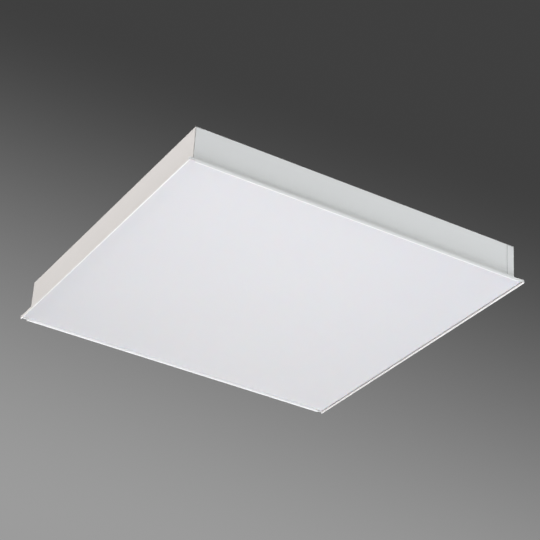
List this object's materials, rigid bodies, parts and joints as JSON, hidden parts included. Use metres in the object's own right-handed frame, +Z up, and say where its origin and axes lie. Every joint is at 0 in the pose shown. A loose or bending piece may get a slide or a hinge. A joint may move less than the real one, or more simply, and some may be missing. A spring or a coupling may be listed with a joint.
{
  "type": "recessed troffer light",
  "caption": "Square recessed ceiling luminaire: shallow folded steel housing with hemmed lips, and an opal diffuser door that drops and swings down over an LED gear tray.",
  "frame": {"origin": "centre of the square face, in the plane of the lip bottoms that rest on the ceiling grid", "axes": "+Z up, from the lip bottoms to the top panel; -Y towards the front, where the door opens; +X to the right"},
  "size_m": [0.597, 0.597, 0.0716],
  "materials": {
    "white_powder_coat": "satin powder coat",
    "opal_plastic": "satin opal acrylic",
    "reflector_white": "matt reflective paint",
    "zinc_plated_steel": "bright zinc plate",
    "ferrite": "sintered magnet",
    "circuit_white": "white solder mask",
    "clear_lens": "clear moulded lens",
    "white_nylon": "moulded nylon",
    "grey_terminal": "moulded nylon",
    "orange_lever": "moulded nylon",
    "black_rubber": "moulded rubber",
    "foam_tape": "acrylic foam",
    "driver_case": "satin paint",
    "circuit_green": "solder mask",
    "black_components": "moulded resin",
    "brown_insulation": "insulated lead",
    "blue_insulation": "insulated lead",
    "green_yellow_insulation": "insulated lead",
    "red_insulation": "insulated lead",
    "black_insulation": "insulated lead",
    "white_insulation": "insulated lead"
  },
  "bodies": {
    "housing": {"housing_shell": "white_powder_coat", "hinge_guide_left": "zinc_plated_steel", "hinge_guide_right": "zinc_plated_steel", "stop_pins": "zinc_plated_steel", "catch_brackets": "zinc_plated_steel", "catch_magnets": "ferrite", "tray_brackets": "zinc_plated_steel", "gear_tray": "reflector_white", "tray_screws": "zinc_plated_steel", "tray_grommet": "black_rubber", "board_rivets": "white_nylon", "board_connectors": "white_nylon", "link_leads": "white_insulation", "driver_base": "zinc_plated_steel", "driver_cover": "driver_case", "driver_board": "circuit_green", "driver_components": "black_components", "driver_input_terminal": "grey_terminal", "driver_output_terminal": "grey_terminal", "driver_screws": "zinc_plated_steel", "terminal_block": "grey_terminal", "earth_screw": "zinc_plated_steel", "lead_line": "brown_insulation", "lead_neutral": "blue_insulation", "lead_earth": "green_yellow_insulation", "lead_negative": "black_insulation", "lead_positive": "red_insulation", "cable_grommet": "black_rubber", "blanking_plugs": "white_nylon", "cover_pivot": "zinc_plated_steel", "cover_catch_screw": "zinc_plated_steel", "led_board_1": "circuit_white", "led_lenses_1": "clear_lens", "led_board_2": "circuit_white", "led_lenses_2": "clear_lens", "led_board_3": "circuit_white", "led_lenses_3": "clear_lens", "led_board_4": "circuit_white", "led_lenses_4": "clear_lens", "led_board_5": "circuit_white", "led_lenses_5": "clear_lens", "led_board_6": "circuit_white", "led_lenses_6": "clear_lens"},
    "hinge_straps": {"hinge_strap_left": "zinc_plated_steel", "hinge_strap_right": "zinc_plated_steel"},
    "door": {"diffuser": "opal_plastic", "bond_strips": "foam_tape", "carrier_rail_front": "reflector_white", "carrier_rail_rear": "reflector_white", "carrier_rail_left": "reflector_white", "carrier_rail_right": "reflector_white", "corner_gussets": "reflector_white", "hinge_brackets": "zinc_plated_steel", "hinge_pins": "zinc_plated_steel", "strike_plates": "zinc_plated_steel"},
    "access_cover": {"access_cover": "white_powder_coat"},
    "lever_line": {"lever_line": "orange_lever"},
    "lever_neutral": {"lever_neutral": "orange_lever"},
    "lever_earth": {"lever_earth": "orange_lever"}
  },
  "joints": [
    {"name": "strap_drop", "type": "slide", "parent": "housing", "child": "hinge_straps", "axis": [0, 0, -1], "range_m": [0, 0.022]},
    {"name": "door_swing", "type": "hinge", "parent": "hinge_straps", "child": "door", "pos_m": [0, 0.283, 0.008], "axis": [1, 0, 0], "range_deg": [0, 90]},
    {"name": "cover_swing", "type": "hinge", "parent": "housing", "child": "access_cover", "pos_m": [0.11, -0.105, 0.0695], "axis": [0, 0, 1], "range_deg": [0, 100]},
    {"name": "line_lever_tilt", "type": "hinge", "parent": "housing", "child": "lever_line", "pos_m": [0.164, -0.07, 0.0525], "axis": [0, -1, 0], "range_deg": [0, 80]},
    {"name": "neutral_lever_tilt", "type": "hinge", "parent": "housing", "child": "lever_neutral", "pos_m": [0.164, -0.06, 0.0525], "axis": [0, -1, 0], "range_deg": [0, 80]},
    {"name": "earth_lever_tilt", "type": "hinge", "parent": "housing", "child": "lever_earth", "pos_m": [0.164, -0.05, 0.0525], "axis": [0, -1, 0], "range_deg": [0, 80]}
  ],
  "couplings": [
    {"joint": "strap_drop", "follows": "door_swing", "m_per_rad": 0.014005}
  ]
}
